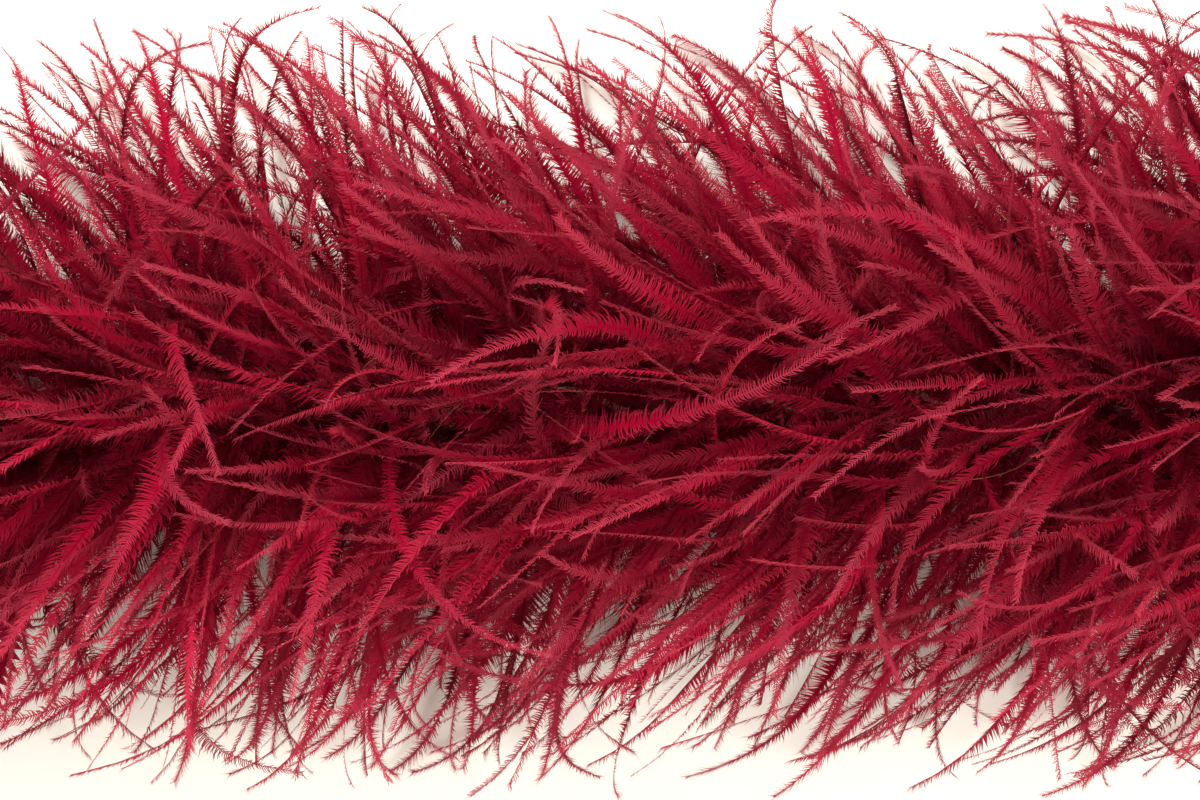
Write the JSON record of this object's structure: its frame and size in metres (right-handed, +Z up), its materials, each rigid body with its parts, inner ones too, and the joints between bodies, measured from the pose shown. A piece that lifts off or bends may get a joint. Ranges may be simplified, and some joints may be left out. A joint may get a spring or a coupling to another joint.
{
  "type": "feather boa",
  "caption": "Long fluffy boa of dyed ostrich flues wound on a cotton cord, limp along its whole length, with a small loop at each end.",
  "frame": {"origin": "on the surface the boa lies on, under the middle of its length", "axes": "+X along the boa, away from the end that the flues lean towards; +Z up from the surface; +Y across"},
  "size_m": [1.83, 0.1912, 0.1309],
  "materials": {
    "dyed_flues": "dyed ostrich flues, soft and matt with a faint sheen, crimson where lit and near black red in the depths",
    "bare_quill": "split quill rib that has taken the dye unevenly, tan to red brown, smooth horn",
    "dyed_cotton_cord": "three-strand twisted cotton cord, dyed dark crimson",
    "dyed_thread": "two-ply sewing thread, dyed crimson, slight lustre"
  },
  "bodies": {
    "link_01": {"core_cord_01": "dyed_cotton_cord", "quill_strip_01": "bare_quill", "binding_thread_01": "dyed_thread", "flues_01": "dyed_flues", "whipping_first_end": "dyed_thread", "knot_first_end": "dyed_cotton_cord", "loop_first_end": "dyed_cotton_cord"},
    "link_02": {"core_cord_02": "dyed_cotton_cord", "quill_strip_02": "bare_quill", "binding_thread_02": "dyed_thread", "flues_02": "dyed_flues"},
    "link_03": {"core_cord_03": "dyed_cotton_cord", "quill_strip_03": "bare_quill", "binding_thread_03": "dyed_thread", "flues_03": "dyed_flues"},
    "link_04": {"core_cord_04": "dyed_cotton_cord", "quill_strip_04": "bare_quill", "binding_thread_04": "dyed_thread", "flues_04": "dyed_flues"},
    "link_05": {"core_cord_05": "dyed_cotton_cord", "quill_strip_05": "bare_quill", "binding_thread_05": "dyed_thread", "flues_05": "dyed_flues"},
    "link_06": {"core_cord_06": "dyed_cotton_cord", "quill_strip_06": "bare_quill", "binding_thread_06": "dyed_thread", "flues_06": "dyed_flues"},
    "link_07": {"core_cord_07": "dyed_cotton_cord", "quill_strip_07": "bare_quill", "binding_thread_07": "dyed_thread", "flues_07": "dyed_flues"},
    "link_08": {"core_cord_08": "dyed_cotton_cord", "quill_strip_08": "bare_quill", "binding_thread_08": "dyed_thread", "flues_08": "dyed_flues"},
    "link_09": {"core_cord_09": "dyed_cotton_cord", "quill_strip_09": "bare_quill", "binding_thread_09": "dyed_thread", "flues_09": "dyed_flues"},
    "link_10": {"core_cord_10": "dyed_cotton_cord", "quill_strip_10": "bare_quill", "binding_thread_10": "dyed_thread", "flues_10": "dyed_flues"},
    "link_11": {"core_cord_11": "dyed_cotton_cord", "quill_strip_11": "bare_quill", "binding_thread_11": "dyed_thread", "flues_11": "dyed_flues"},
    "link_12": {"core_cord_12": "dyed_cotton_cord", "quill_strip_12": "bare_quill", "binding_thread_12": "dyed_thread", "flues_12": "dyed_flues"},
    "link_13": {"core_cord_13": "dyed_cotton_cord", "quill_strip_13": "bare_quill", "binding_thread_13": "dyed_thread", "flues_13": "dyed_flues", "whipping_last_end": "dyed_thread", "knot_last_end": "dyed_cotton_cord", "loop_last_end": "dyed_cotton_cord"}
  },
  "joints": [
    {"name": "bend_01_02", "type": "hinge", "parent": "link_02", "child": "link_01", "pos_m": [-0.737, 0, 0.052], "axis": [0, 0, 1], "range_deg": [-35, 35]},
    {"name": "bend_02_03", "type": "hinge", "parent": "link_03", "child": "link_02", "pos_m": [-0.603, 0, 0.052], "axis": [0, 0, 1], "range_deg": [-35, 35]},
    {"name": "bend_03_04", "type": "hinge", "parent": "link_04", "child": "link_03", "pos_m": [-0.469, 0, 0.052], "axis": [0, 0, 1], "range_deg": [-35, 35]},
    {"name": "bend_04_05", "type": "hinge", "parent": "link_05", "child": "link_04", "pos_m": [-0.335, 0, 0.052], "axis": [0, 0, -1], "range_deg": [-35, 35]},
    {"name": "bend_05_06", "type": "hinge", "parent": "link_06", "child": "link_05", "pos_m": [-0.201, 0, 0.052], "axis": [0, 0, -1], "range_deg": [-35, 35]},
    {"name": "bend_06_07", "type": "hinge", "parent": "link_07", "child": "link_06", "pos_m": [-0.067, 0, 0.052], "axis": [0, 0, -1], "range_deg": [-35, 35]},
    {"name": "bend_07_08", "type": "hinge", "parent": "link_07", "child": "link_08", "pos_m": [0.067, 0, 0.052], "axis": [0, 0, 1], "range_deg": [-35, 35]},
    {"name": "bend_08_09", "type": "hinge", "parent": "link_08", "child": "link_09", "pos_m": [0.201, 0, 0.052], "axis": [0, 0, 1], "range_deg": [-35, 35]},
    {"name": "bend_09_10", "type": "hinge", "parent": "link_09", "child": "link_10", "pos_m": [0.335, 0, 0.052], "axis": [0, 0, 1], "range_deg": [-35, 35]},
    {"name": "bend_10_11", "type": "hinge", "parent": "link_10", "child": "link_11", "pos_m": [0.469, 0, 0.052], "axis": [0, 0, -1], "range_deg": [-35, 35]},
    {"name": "bend_11_12", "type": "hinge", "parent": "link_11", "child": "link_12", "pos_m": [0.603, 0, 0.052], "axis": [0, 0, -1], "range_deg": [-35, 35]},
    {"name": "bend_12_13", "type": "hinge", "parent": "link_12", "child": "link_13", "pos_m": [0.737, 0, 0.052], "axis": [0, 0, -1], "range_deg": [-35, 35]}
  ]
}
